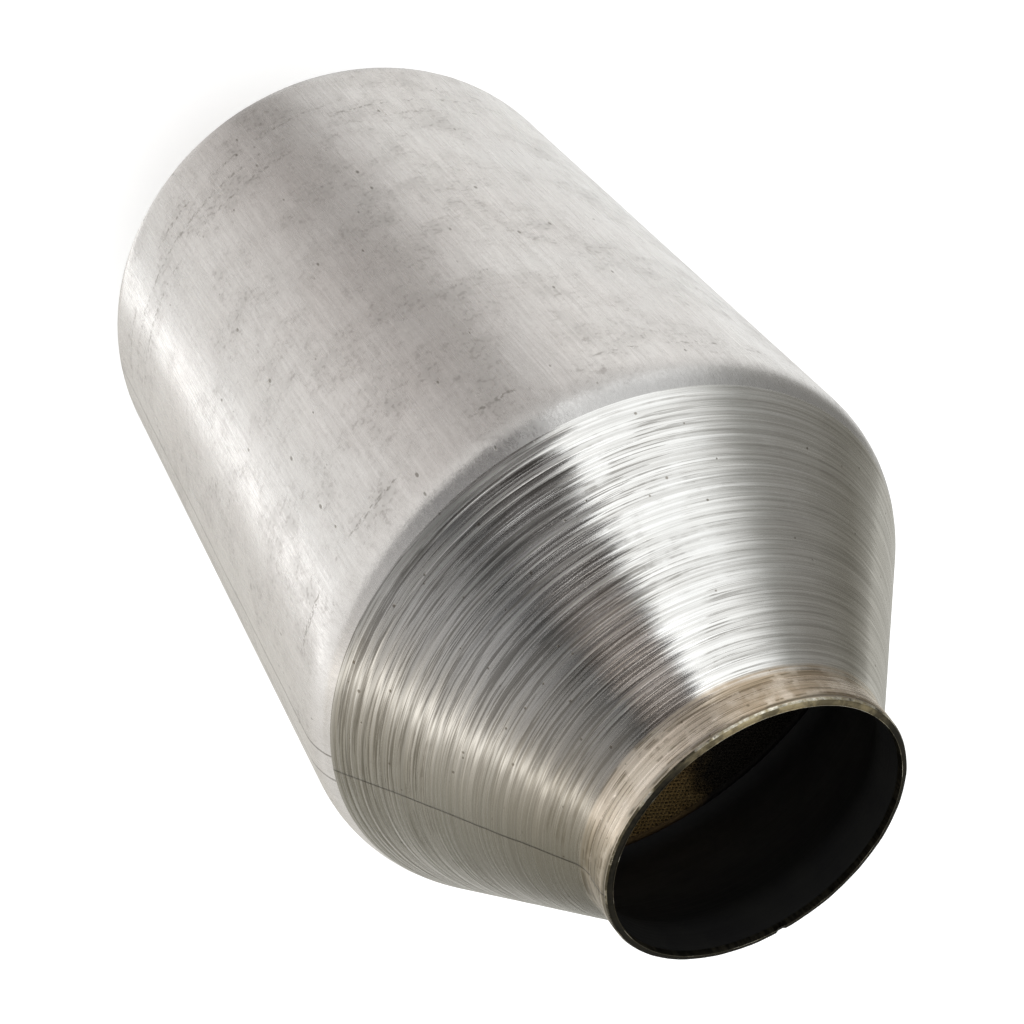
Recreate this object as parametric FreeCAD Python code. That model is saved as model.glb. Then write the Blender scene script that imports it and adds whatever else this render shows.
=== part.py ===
"""Round catalytic converter with a spun shell, standing on its outlet rim.

One stainless tube holds a ceramic honeycomb, the monolith.  Both ends of the tube
are spun down over it to a shoulder, a cone and a short neck that a pipe slips into.
A fibre mat grips the monolith all round, and a knitted wire seal at each end
keeps the hot gas off the mat.  +Z is the axis, and z = 0 is the outlet rim.
"""
import FreeCAD, Part
import math
import os

os.makedirs("parts", exist_ok=True)

# ---- Driving dimensions, in millimetres and degrees ----

# Monolith: extruded cordierite, with square cells inside a solid skin.
monolith_diameter = 118.4
monolith_length = 148.0
cells_per_square_inch = 600.0
cell_wall_thickness = 0.11
skin_thickness = 0.8
# Next to the skin, a cell with less than this share of its area left is closed.
smallest_open_cell = 0.25
# A block of this many cells each way is drawn as one, with its walls as much thicker.
cells_in_a_block = 5

# Support mat: a fibre sheet wrapped once round, closed by a tongue in a notch.
mat_thickness = 2.8
mat_joint_gap = 0.6
mat_tongue_width = 44.0
mat_tongue_reach = 28.0

# Edge seals: knitted wire rings, from each end of the mat to the shell's shoulder.
seal_length = 8.0
seal_to_mat_gap = 0.3

# Shell: a seam-welded tube, spun down at both ends.
sheet_thickness = 1.5
monolith_overhang = 4.0
shoulder_outside_radius = 15.5
cone_half_angle = 36.5
neck_root_radius = 2.0
neck_length = 7.5
rim_edge_radius = 0.6

# The pipe that slips into each neck, and the play around it.
pipe_diameter = 57.15
pipe_clearance = 0.1

# ---- Sizes that follow ----

INCH = 25.4
AXIS = FreeCAD.Vector(0, 0, 1)
BASE = FreeCAD.Vector(0, 0, 0)

angle = math.radians(cone_half_angle)
monolith_radius = monolith_diameter / 2
cavity_radius = monolith_radius + mat_thickness
shell_radius = cavity_radius + sheet_thickness
bore_radius = pipe_diameter / 2 + pipe_clearance
neck_radius = bore_radius + sheet_thickness

# The straight wall stops short of the monolith's ends, so that the shoulders close on them.
straight_length = monolith_length - 2 * monolith_overhang
mat_length = straight_length - 2 * (seal_length + seal_to_mat_gap)

# Heights of one end, counted outwards from where the straight wall stops.
shoulder_height = shoulder_outside_radius * math.sin(angle)
shoulder_drop = shoulder_outside_radius * (1 - math.cos(angle))
root_height = neck_root_radius * math.sin(angle)
root_drop = neck_root_radius * (1 - math.cos(angle))
cone_drop = shell_radius - shoulder_drop - neck_radius - root_drop
cone_height = cone_drop / math.tan(angle)
neck_start = shoulder_height + cone_height + root_height
end_height = neck_start + neck_length

middle = end_height + straight_length / 2


# ---- Profile helpers ----

def at(radius, height):
    """A point of a profile, which lies in the XZ plane."""
    return FreeCAD.Vector(radius, 0, height)


def line(start, end):
    """A straight edge."""
    return Part.LineSegment(start, end).toShape()


def arc(centre, radius, first, last, side):
    """A round edge about centre, its angles counted from +X towards side times +Z."""
    points = []
    for turn in (first, (first + last) / 2, last):
        step = at(radius * math.cos(turn), side * radius * math.sin(turn))
        points.append(centre + step)
    return Part.Arc(*points).toShape()


def revolved(edges):
    """The solid that a closed profile sweeps about the axis."""
    outline = Part.Wire(Part.__sortEdges__(edges))
    return Part.Face(outline).revolve(BASE, AXIS, 360)


def ring(inner_radius, outer_radius, low, high):
    """A plain tube between two heights."""
    corners = [
        at(inner_radius, low),
        at(outer_radius, low),
        at(outer_radius, high),
        at(inner_radius, high),
    ]
    sides = zip(corners, corners[1:] + corners[:1])
    return revolved([line(start, end) for start, end in sides])


# ---- Shell ----

def end_edges(depth, side):
    """Shoulder, cone and neck root at one end, at a depth below the outer skin.

    side is +1 for the inlet end, above the middle, and -1 for the outlet end.
    The skins at every depth share their centres, so the sheet keeps its thickness.
    """
    straight_end = middle + side * straight_length / 2
    shoulder_centre = at(shell_radius - shoulder_outside_radius, straight_end)
    root_centre = at(neck_radius + neck_root_radius, straight_end + side * neck_start)
    shoulder = arc(shoulder_centre, shoulder_outside_radius - depth, 0, angle, side)
    root = arc(root_centre, neck_root_radius + depth, math.pi + angle, math.pi, side)
    cone = line(shoulder.lastVertex().Point, root.firstVertex().Point)
    return [shoulder, cone, root]


def rim_edges(side):
    """The neck's outside wall, its rounded lip, the cut face and the bore."""
    neck_foot = middle + side * (straight_length / 2 + neck_start)
    rim = neck_foot + side * neck_length
    lip_centre = at(neck_radius - rim_edge_radius, rim - side * rim_edge_radius)
    lip = arc(lip_centre, rim_edge_radius, 0, math.pi / 2, side)
    return [
        line(at(neck_radius, neck_foot), lip.firstVertex().Point),
        lip,
        line(lip.lastVertex().Point, at(bore_radius, rim)),
        line(at(bore_radius, rim), at(bore_radius, neck_foot)),
    ]


def make_shell():
    """The spun tube: one sheet of even thickness from rim to rim."""
    edges = rim_edges(-1) + rim_edges(1)
    for depth in (0, sheet_thickness):
        outlet_end = end_edges(depth, -1)
        inlet_end = end_edges(depth, 1)
        wall = line(outlet_end[0].firstVertex().Point, inlet_end[0].firstVertex().Point)
        edges += [wall, *outlet_end, *inlet_end]
    return revolved(edges)


# ---- Monolith ----

def cell_outlines(height):
    """Square cells on a grid through the axis, the outer ones cut off by the skin."""
    true_pitch = INCH / math.sqrt(cells_per_square_inch)
    pitch = true_pitch * cells_in_a_block
    cell_side = (true_pitch - cell_wall_thickness) * cells_in_a_block
    open_radius = monolith_radius - skin_thickness
    open_edge = Part.makeCircle(open_radius, FreeCAD.Vector(0, 0, height))
    open_disc = Part.Face(Part.Wire(open_edge))
    reach = int(monolith_radius / pitch) + 1
    outlines = []
    for column in range(-reach, reach + 1):
        for row in range(-reach, reach + 1):
            x = column * pitch
            y = row * pitch
            near_corner = math.hypot(abs(x) - cell_side / 2, abs(y) - cell_side / 2)
            far_corner = math.hypot(abs(x) + cell_side / 2, abs(y) + cell_side / 2)
            if near_corner > open_radius:
                continue
            corner = FreeCAD.Vector(x - cell_side / 2, y - cell_side / 2, height)
            cell = Part.makePlane(cell_side, cell_side, corner)
            if far_corner > open_radius:
                cell = cell.common(open_disc)
            if cell.Area > smallest_open_cell * cell_side ** 2:
                outlines.append(cell.Faces[0].OuterWire)
    return outlines


def make_monolith():
    """The honeycomb, extruded from end to end with its cells open."""
    base = middle - monolith_length / 2
    skin = Part.Wire(Part.makeCircle(monolith_radius, FreeCAD.Vector(0, 0, base)))
    section = Part.makeFace([skin] + cell_outlines(base), "Part::FaceMakerBullseye")
    return section.extrude(AXIS * monolith_length)


# ---- Support mat ----

def run_along(low, high, turn):
    """One stretch of the mat's joint along the axis, turned about it."""
    width = shell_radius
    corner = FreeCAD.Vector(0, -mat_joint_gap / 2, low)
    cut = Part.makeBox(width, mat_joint_gap, high - low, corner)
    return cut.rotate(BASE, AXIS, turn)


def run_round(height, turn):
    """One stretch of the mat's joint round the axis, as far as turn."""
    low = height - mat_joint_gap / 2
    high = height + mat_joint_gap / 2
    corners = [at(0, low), at(shell_radius, low), at(shell_radius, high), at(0, high), at(0, low)]
    return Part.Face(Part.makePolygon(corners)).revolve(BASE, AXIS, turn)


def make_mat_joint():
    """The gap where the mat's ends meet: a tongue between two straight runs."""
    tongue_turn = math.degrees(mat_tongue_reach / monolith_radius)
    half_gap = mat_joint_gap / 2
    tongue_low = middle - mat_tongue_width / 2
    tongue_high = middle + mat_tongue_width / 2
    below = middle - straight_length / 2
    above = middle + straight_length / 2
    runs = [
        run_along(tongue_low - half_gap, tongue_high + half_gap, tongue_turn),
        run_along(tongue_high - half_gap, above, 0),
        run_round(tongue_low, tongue_turn),
        run_round(tongue_high, tongue_turn),
    ]
    return run_along(below, tongue_low + half_gap, 0).fuse(runs)


def make_mat():
    """The mat, pressed between the monolith and the shell's straight wall."""
    sleeve = ring(monolith_radius, cavity_radius, middle - mat_length / 2, middle + mat_length / 2)
    return sleeve.cut(make_mat_joint())


# ---- Edge seals ----

def make_seal(side):
    """A wire ring round the monolith's end, up to where the shell's shoulder starts."""
    straight_end = middle + side * straight_length / 2
    mat_side = straight_end - side * seal_length
    low, high = sorted((mat_side, straight_end))
    return ring(monolith_radius, cavity_radius, low, high)


# ---- Build and export ----

pieces = {
    "shell": make_shell(),
    "monolith": make_monolith(),
    "support_mat": make_mat(),
    "inlet_edge_seal": make_seal(1),
    "outlet_edge_seal": make_seal(-1),
}
for name, piece in pieces.items():
    solid = piece.Solids[0]
    solid.exportStep(f"parts/{name}.step")
    print(f"{name}: {len(piece.Solids)} solid, valid {solid.isValid()}, {solid.Volume / 1000:.2f} cm3")
print(f"height {2 * middle:.2f}, shell diameter {2 * shell_radius:.2f}, bore radius {bore_radius:.3f}")
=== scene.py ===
import math
import random

import bpy
import numpy as np
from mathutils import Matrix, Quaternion, Vector


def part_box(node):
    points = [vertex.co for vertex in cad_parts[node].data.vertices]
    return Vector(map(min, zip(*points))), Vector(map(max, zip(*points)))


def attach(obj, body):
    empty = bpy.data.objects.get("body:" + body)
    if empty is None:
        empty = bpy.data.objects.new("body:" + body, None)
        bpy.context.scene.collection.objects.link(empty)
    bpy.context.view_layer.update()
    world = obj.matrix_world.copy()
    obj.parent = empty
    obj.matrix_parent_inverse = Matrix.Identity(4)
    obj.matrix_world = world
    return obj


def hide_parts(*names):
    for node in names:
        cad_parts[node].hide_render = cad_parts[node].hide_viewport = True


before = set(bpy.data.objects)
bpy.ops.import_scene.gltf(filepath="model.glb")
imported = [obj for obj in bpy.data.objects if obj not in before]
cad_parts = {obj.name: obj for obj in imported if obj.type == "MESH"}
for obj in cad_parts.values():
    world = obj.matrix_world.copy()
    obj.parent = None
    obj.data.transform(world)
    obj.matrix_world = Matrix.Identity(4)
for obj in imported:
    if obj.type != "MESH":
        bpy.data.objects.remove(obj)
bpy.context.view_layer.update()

# ---- Monolith ----
# An extruded cordierite honeycomb, fired and then dipped in washcoat, which rounds and
# thickens its walls and stops a few cells.  The mat holds it by its skin.

monolith_low, monolith_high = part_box("monolith")
monolith_radius = min(monolith_high.x, monolith_high.y)
monolith_middle = (monolith_low.z + monolith_high.z) / 2
cells_per_square_inch = 600
cell_pitch = 0.0254 / math.sqrt(cells_per_square_inch)
cells_across = 113
coated_wall = 0.00025
stopped_share = 0.006
open_radius = 0.0571
skin_inside = 0.0574
web_setback = 0.00002


def fill(tree, sockets, values):
    """Gives inputs, by name or number, their values, and links the sockets among these."""
    for name, value in dict(values).items():
        if isinstance(value, bpy.types.NodeSocket):
            tree.links.new(value, sockets[name])
        else:
            sockets[name].default_value = value


def place_node(tree, kind, values=(), **settings):
    """Adds a node and fills its inputs."""
    made = tree.nodes.new(kind)
    for name, value in settings.items():
        setattr(made, name, value)
    fill(tree, made.inputs, values)
    return made


def calc(tree, operation, *values):
    """One Math node, as the socket of its result."""
    return place_node(tree, "ShaderNodeMath", enumerate(values), operation=operation).outputs[0]


def vector_calc(tree, operation, *values):
    """One Vector Math node, as the socket of its vector or of its length."""
    made = place_node(tree, "ShaderNodeVectorMath", enumerate(values), operation=operation)
    return made.outputs["Value" if operation in ("LENGTH", "DISTANCE", "DOT_PRODUCT") else "Vector"]


def split(tree, vector):
    """A vector's parts, to be picked by X, Y or Z."""
    return place_node(tree, "ShaderNodeSeparateXYZ", {0: vector}).outputs


def join(tree, **parts):
    """A vector made of some of X, Y and Z."""
    return place_node(tree, "ShaderNodeCombineXYZ", parts).outputs[0]


def shape(tree, kind, values=(), **settings):
    """One of the Geometry Nodes, as the socket of its first result."""
    return place_node(tree, "GeometryNode" + kind, values, **settings).outputs[0]


def together(tree, *shapes):
    """Several shapes as one."""
    made = tree.nodes.new("GeometryNodeJoinGeometry")
    for each in shapes:
        tree.links.new(each, made.inputs[0])
    return made.outputs[0]


def band(tree, radius, wall, tall, middle, facets):
    """A plain ring of square section, with its middle at a height."""
    path = shape(tree, "CurvePrimitiveCircle", {"Resolution": facets, "Radius": radius})
    section = shape(tree, "CurvePrimitiveQuadrilateral", {"Width": wall, "Height": tall})
    ring = shape(tree, "CurveToMesh", {"Curve": path, "Profile Curve": section})
    return shape(tree, "Transform", {"Geometry": ring, "Translation": join(tree, Z=middle)})


def geometry_tree(name, inputs):
    """A Geometry Nodes tree, the sockets of its named inputs, and those of its output."""
    tree = bpy.data.node_groups.new(name, "GeometryNodeTree")
    tree.interface.new_socket("Geometry", in_out="INPUT", socket_type="NodeSocketGeometry")
    for title, kind in inputs.items():
        tree.interface.new_socket(title, in_out="INPUT", socket_type="NodeSocket" + kind)
    tree.interface.new_socket("Geometry", in_out="OUTPUT", socket_type="NodeSocketGeometry")
    return tree, tree.nodes.new("NodeGroupInput").outputs, tree.nodes.new("NodeGroupOutput").inputs


def grow(name, tree, values):
    """Runs a tree with its named values and returns the result as a plain object."""
    seed = bpy.data.objects.new(name, bpy.data.meshes.new(name + "_seed"))
    bpy.context.scene.collection.objects.link(seed)
    modifier = seed.modifiers.new("grow", "NODES")
    modifier.node_group = tree
    for item in tree.interface.items_tree:
        if item.in_out == "INPUT" and item.name in values:
            modifier[item.identifier] = values[item.name]
    settled = seed.evaluated_get(bpy.context.evaluated_depsgraph_get())
    mesh = bpy.data.meshes.new_from_object(settled)
    seed.modifiers.remove(modifier)
    seed.data = mesh
    mesh.name = name
    return seed


honeycomb, size, result = geometry_tree("honeycomb", {
    "Pitch": "Float",
    "Wall": "Float",
    "Cells Across": "Int",
    "Open Radius": "Float",
    "Skin Inside": "Float",
    "Skin Outside": "Float",
    "Top": "Float",
    "Length": "Float",
    "Setback": "Float",
    "Stopped Share": "Float",
    "Seed": "Int",
    "Material": "Material",
})
gap = calc(honeycomb, "MULTIPLY", size["Pitch"], 0.5)
lines = calc(honeycomb, "MULTIPLY", size["Cells Across"], 2.0)
width = calc(honeycomb, "MULTIPLY", calc(honeycomb, "SUBTRACT", lines, 1.0), gap)
net = shape(honeycomb, "MeshGrid", {
    "Size X": width,
    "Size Y": width,
    "Vertices X": lines,
    "Vertices Y": lines,
})
# Every second gap of the even net is opened to a cell, and the others close to a wall.
spot = split(honeycomb, shape(honeycomb, "InputPosition"))
widen = calc(honeycomb, "SUBTRACT", gap, size["Wall"])
half_the_lines = calc(honeycomb, "SUBTRACT", size["Cells Across"], 0.5)
moved = {}
for axis in "XY":
    number = calc(honeycomb, "ADD", calc(honeycomb, "DIVIDE", spot[axis], gap), half_the_lines)
    odd = calc(honeycomb, "MODULO", calc(honeycomb, "ROUND", number), 2.0)
    moved[axis] = calc(honeycomb, "MULTIPLY", calc(honeycomb, "SUBTRACT", odd, 0.5), widen)
top = calc(honeycomb, "SUBTRACT", size["Top"], size["Setback"])
net = shape(honeycomb, "SetPosition", {"Geometry": net, "Offset": join(honeycomb, **moved, Z=top)})
# Cells go where both gaps are wide and the middle lies inside the skin.
spot = split(honeycomb, shape(honeycomb, "InputPosition"))
radius = vector_calc(honeycomb, "LENGTH", join(honeycomb, X=spot["X"], Y=spot["Y"]))
wide = []
for axis in "XY":
    number = calc(honeycomb, "ADD", calc(honeycomb, "DIVIDE", spot[axis], size["Pitch"]), 0.5)
    wide.append(calc(honeycomb, "COMPARE", calc(honeycomb, "FRACT", number), 0.5, 0.25))
cell = calc(honeycomb, "MULTIPLY", *wide)
luck = {"Probability": size["Stopped Share"], "Seed": size["Seed"]}
stopped = place_node(honeycomb, "FunctionNodeRandomValue", luck, data_type="BOOLEAN").outputs[3]
hole = calc(honeycomb, "MULTIPLY", cell, calc(honeycomb, "SUBTRACT", 1.0, stopped))
# Beside the skin, the walls reach half a pitch further out than the cells.
into_skin = calc(honeycomb, "MULTIPLY", size["Pitch"], 0.55)
further = calc(honeycomb, "MULTIPLY", calc(honeycomb, "SUBTRACT", 1.0, cell), into_skin)
reach = calc(honeycomb, "ADD", size["Open Radius"], further)
gone = calc(honeycomb, "MAXIMUM", hole, calc(honeycomb, "GREATER_THAN", radius, reach))
web = shape(honeycomb, "DeleteGeometry", {"Geometry": net, "Selection": gone}, domain="FACE")
# The web is drawn through the length, and the skin is a tube round it.
setbacks = calc(honeycomb, "MULTIPLY", size["Setback"], 2.0)
web_length = calc(honeycomb, "SUBTRACT", size["Length"], setbacks)
drawn = shape(honeycomb, "ExtrudeMesh", {
    "Mesh": web,
    "Offset": join(honeycomb, Z=calc(honeycomb, "MULTIPLY", web_length, -1.0)),
    "Offset Scale": 1.0,
    "Individual": False,
})
walls = together(honeycomb, web, shape(honeycomb, "FlipFaces", {"Mesh": drawn}))
welded = shape(honeycomb, "MergeByDistance", {"Geometry": walls, "Distance": 0.000002})
both_radii = calc(honeycomb, "ADD", size["Skin Inside"], size["Skin Outside"])
skin = band(
    honeycomb,
    radius=calc(honeycomb, "MULTIPLY", both_radii, 0.5),
    wall=calc(honeycomb, "SUBTRACT", size["Skin Outside"], size["Skin Inside"]),
    tall=size["Length"],
    middle=calc(honeycomb, "SUBTRACT", size["Top"], calc(honeycomb, "MULTIPLY", size["Length"], 0.5)),
    facets=256,
)
whole = together(honeycomb, welded, skin)
painted = shape(honeycomb, "SetMaterial", {"Geometry": whole, "Material": size["Material"]})
honeycomb.links.new(shape(honeycomb, "RealizeInstances", {"Geometry": painted}), result[0])


def noise(tree, vector, density, detail, roughness):
    """Cloudy noise round a half."""
    values = {"Vector": vector, "Scale": density, "Detail": detail, "Roughness": roughness}
    return place_node(tree, "ShaderNodeTexNoise", values).outputs[0]


def fade(tree, value, low, high, to_low=0.0, to_high=1.0):
    """A value eased from one range into another."""
    values = {"Value": value, "From Min": low, "From Max": high, "To Min": to_low, "To Max": to_high}
    return place_node(tree, "ShaderNodeMapRange", values, interpolation_type="SMOOTHSTEP").outputs[0]


def blend(tree, share, first, second):
    """The first colour where share is 0 and the second where it is 1."""
    values = {0: share}
    for number, colour in ((6, first), (7, second)):
        values[number] = colour if isinstance(colour, bpy.types.NodeSocket) else (*colour, 1.0)
    return place_node(tree, "ShaderNodeMix", values, data_type="RGBA").outputs[2]


def laid_over(tree, colour, *layers):
    """A colour under others, each given as a mask, its strength and the colour."""
    for mask, strength, layer in layers:
        colour = blend(tree, calc(tree, "MULTIPLY", mask, strength), colour, layer)
    return colour


def relief(tree, *layers):
    """A bumped normal, from masks and their heights in metres, below 0 for hollows."""
    height = 0.0
    for mask, rise in layers:
        height = calc(tree, "MULTIPLY_ADD", mask, rise, height)
    values = {"Strength": 1.0, "Distance": 1.0, "Height": height}
    return place_node(tree, "ShaderNodeBump", values).outputs[0]


def shader_group(name, inputs, output):
    """A shader node group, the sockets of its named inputs, and those of its output."""
    group = bpy.data.node_groups.new(name, "ShaderNodeTree")
    for title, value in inputs.items():
        kind = "NodeSocketFloat" if isinstance(value, float) else "NodeSocketVector"
        group.interface.new_socket(title, in_out="INPUT", socket_type=kind).default_value = value
    group.interface.new_socket(output, in_out="OUTPUT", socket_type="NodeSocketFloat")
    return group, group.nodes.new("NodeGroupInput").outputs, group.nodes.new("NodeGroupOutput").inputs


def use_group(tree, group, **values):
    """Places a group in a material, as the socket of its result."""
    return place_node(tree, "ShaderNodeGroup", values, node_tree=group).outputs[0]


def new_material(name):
    """A material, its node tree, its shader's inputs, and the piece's own coordinates."""
    material = bpy.data.materials.new(name)
    material.use_nodes = True
    tree = material.node_tree
    place = place_node(tree, "ShaderNodeTexCoord").outputs["Object"]
    return material, tree, tree.nodes["Principled BSDF"].inputs, place


# Broad, soft patches, where firing, hands, heat and cleaning leave a surface uneven.
soft_patches, given, result = shader_group(
    "soft_patches",
    {"Vector": (0.0, 0.0, 0.0), "Density": 20.0},
    "Patch",
)
cloud = noise(soft_patches, given["Vector"], given["Density"], detail=5.0, roughness=0.6)
soft_patches.links.new(fade(soft_patches, cloud, 0.3, 0.7), result["Patch"])


def patches(tree, place, density):
    """Soft patches in a material, the smaller the denser."""
    return use_group(tree, soft_patches, Vector=place, Density=density)


# Washcoat over cordierite: tan and golden brown, matt, blotchy from cell to cell.
washcoat, tree, surface, place = new_material("washcoated_cordierite")
patch = patches(tree, place, 260.0)
speck = patches(tree, place, 1500.0)
# Painted shade: the face is darker on one side, where little light reaches it, and nearly black a little way
# down the channels.
from_middle = calc(tree, "ABSOLUTE", calc(tree, "SUBTRACT", split(tree, place)["Z"], monolith_middle))
depth = calc(tree, "SUBTRACT", monolith_high.z - monolith_middle, from_middle)
sideways = vector_calc(tree, "DOT_PRODUCT", place, (0.85, 0.53, 0.0))
shaded_face = fade(tree, calc(tree, "MULTIPLY_ADD", patch, 0.004, sideways), -0.002, -0.012)
channel_shade = fade(tree, depth, 0.0001, 0.0008, 0.0, 0.97)
monolith_shade = calc(tree, "MAXIMUM", shaded_face, channel_shade)
radius = vector_calc(tree, "LENGTH", vector_calc(tree, "MULTIPLY", place, (1, 1, 0)))
colour = laid_over(
    tree,
    blend(tree, patch, (0.30, 0.19, 0.065), (0.36, 0.25, 0.10)),
    (speck, 0.4, (0.15, 0.085, 0.03)),
    (fade(tree, radius, 0.0566, 0.0572), 0.8, (0.10, 0.065, 0.028)),
    (monolith_shade, 0.97, (0.012, 0.011, 0.010)),
)
fill(tree, surface, {
    "Base Color": colour,
    "Roughness": 0.85,
    "Specular IOR Level": 0.3,
    "Normal": relief(tree, (speck, 0.00006)),
})

monolith = grow("monolith_honeycomb", honeycomb, {
    "Pitch": cell_pitch,
    "Wall": coated_wall,
    "Cells Across": cells_across,
    "Open Radius": open_radius,
    "Skin Inside": skin_inside,
    "Skin Outside": monolith_radius,
    "Top": monolith_high.z,
    "Length": monolith_high.z - monolith_low.z,
    "Setback": web_setback,
    "Stopped Share": stopped_share,
    "Seed": 4,
    "Material": washcoat,
})
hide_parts("monolith")
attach(monolith, "root")

# ---- Support mat ----
# A sheet of ceramic fibre with vermiculite flakes, wrapped once round the monolith.  It
# swells when it first gets hot and grips.  A tongue at one end fits a notch in the other.

mat_low, mat_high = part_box("support_mat")
mat_middle = (mat_low.z + mat_high.z) / 2
cavity_radius = min(mat_high.x, mat_high.y)
tongue_width = 0.044
tongue_turn = 0.028 / monolith_radius
joint_gap = 0.0006
half_gap = joint_gap / 2
half_gap_turn = half_gap / monolith_radius

# The sheet's points stand in rows and columns, with lines on both sides of the joint.
mat_heights = list(np.linspace(mat_low.z, mat_high.z, 40))
for side in (-1, 1):
    edge = mat_middle + side * tongue_width / 2
    mat_heights += [edge - half_gap, edge + half_gap]
mat_heights.sort()
mat_turns = list(np.linspace(0, 2 * math.pi, 241)[3:-3])
for turn in (0.0, tongue_turn):
    mat_turns += [turn - half_gap_turn, turn + half_gap_turn]
mat_turns.sort()


def in_joint(turn, height):
    """True where the gap between the mat's two ends runs."""
    beside = abs(height - mat_middle)
    if beside < tongue_width / 2 - half_gap:
        return abs(turn - tongue_turn) < half_gap_turn
    if beside < tongue_width / 2 + half_gap:
        return -half_gap_turn < turn < tongue_turn + half_gap_turn
    return abs(turn) < half_gap_turn


mat_points = []
for height in mat_heights:
    for turn in mat_turns:
        mat_points.append((cavity_radius * math.cos(turn), cavity_radius * math.sin(turn), height))
mat_faces = []
columns = len(mat_turns)
for row in range(len(mat_heights) - 1):
    low = row * columns
    high = low + columns
    row_height = (mat_heights[row] + mat_heights[row + 1]) / 2
    for column in range(columns):
        after = (column + 1) % columns
        span = (mat_turns[after] - mat_turns[column]) % (2 * math.pi)
        if not in_joint(mat_turns[column] + span / 2, row_height):
            mat_faces.append((low + column, low + after, high + after, high + column))
mat_sheet = bpy.data.meshes.new("fibre_mat")
mat_sheet.from_pydata(mat_points, [], mat_faces)
mat_sheet.shade_smooth()
fibre_mat = bpy.data.objects.new("fibre_mat", mat_sheet)
bpy.context.scene.collection.objects.link(fibre_mat)
wall = fibre_mat.modifiers.new("wall", "SOLIDIFY")
wall.thickness = cavity_radius - monolith_radius
wall.offset = -1.0
settled = fibre_mat.evaluated_get(bpy.context.evaluated_depsgraph_get())
mat_mesh = bpy.data.meshes.new_from_object(settled)
fibre_mat.modifiers.remove(wall)
fibre_mat.data = mat_mesh
mat_mesh.set_sharp_from_angle(angle=math.radians(40))

# Streaks that a tool, a belt or a drawn fibre leaves: noise drawn out along one direction.
tool_streaks, given, result = shader_group(
    "tool_streaks",
    {"Vector": (0.0, 0.0, 0.0), "Stretch": (1.0, 1.0, 1.0), "Density": 1000.0, "Contrast": 0.2},
    "Streak",
)
drawn = vector_calc(tool_streaks, "MULTIPLY", given["Vector"], given["Stretch"])
streak = noise(tool_streaks, drawn, given["Density"], detail=3.0, roughness=0.6)
low = calc(tool_streaks, "SUBTRACT", 0.5, given["Contrast"])
high = calc(tool_streaks, "ADD", 0.5, given["Contrast"])
tool_streaks.links.new(fade(tool_streaks, streak, low, high), result["Streak"])


def streaks(tree, place, stretch, density, contrast=0.2):
    """Streaks in a material, drawn out along each direction in which stretch is small."""
    values = {"Stretch": stretch, "Density": density, "Contrast": contrast}
    return use_group(tree, tool_streaks, Vector=place, **values)


# Small pits or flakes: a few of the cells of a scatter, each with a round spot.
rolling_pits, given, result = shader_group(
    "rolling_pits",
    {"Vector": (0.0, 0.0, 0.0), "Density": 200.0, "Share": 0.1, "Size": 0.1},
    "Pit",
)
values = {"Vector": given["Vector"], "Scale": given["Density"]}
scatter = place_node(rolling_pits, "ShaderNodeTexVoronoi", values).outputs
luck = place_node(rolling_pits, "ShaderNodeSeparateColor", {0: scatter["Color"]}).outputs
chosen = calc(rolling_pits, "LESS_THAN", luck[0], given["Share"])
reach = calc(rolling_pits, "MULTIPLY", given["Size"], calc(rolling_pits, "ADD", 0.4, luck[1]))
core = calc(rolling_pits, "MULTIPLY", reach, 0.5)
spot = fade(rolling_pits, scatter["Distance"], reach, core)
rolling_pits.links.new(calc(rolling_pits, "MULTIPLY", chosen, spot), result["Pit"])

# Tangled cream fibre, with strands along the axis and brown flakes among them.
fibre, tree, surface, place = new_material("ceramic_fibre_sheet")
tangle = patches(tree, place, 700.0)
strand = streaks(tree, place, (1.0, 1.0, 0.25), 2400.0)
flake = use_group(tree, rolling_pits, Vector=place, Density=900.0, Share=0.2, Size=0.4)
colour = laid_over(
    tree,
    blend(tree, tangle, (0.74, 0.69, 0.60), (0.62, 0.55, 0.44)),
    (strand, 0.4, (0.80, 0.77, 0.70)),
    (flake, 0.8, (0.42, 0.30, 0.14)),
)
fill(tree, surface, {
    "Base Color": colour,
    "Roughness": 0.95,
    "Sheen Weight": 0.2,
    "Normal": relief(tree, (tangle, 0.00015), (strand, 0.00006)),
})
mat_mesh.materials.append(fibre)
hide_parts("support_mat")
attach(fibre_mat, "root")

# ---- Edge seals ----
# A ring of knitted stainless wire, folded and pressed flat, at each end of the mat.  It
# is stuffed in with the mat, and keeps the hot gas from blowing the fibre away.

seal_wire = 0.00028
seal_stitches = 120
seal_rows = 5

knit, size, result = geometry_tree("knitted_ring", {
    "Inner Radius": "Float",
    "Outer Radius": "Float",
    "Low": "Float",
    "High": "Float",
    "Wire": "Float",
    "Stitches": "Int",
    "Rows": "Int",
    "Wire Material": "Material",
    "Core Material": "Material",
})
wire = size["Wire"]
tall = calc(knit, "SUBTRACT", size["High"], size["Low"])
middle = calc(knit, "MULTIPLY", calc(knit, "ADD", size["High"], size["Low"]), 0.5)
loop_turn = calc(knit, "DIVIDE", 2 * math.pi, size["Stitches"])
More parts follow.
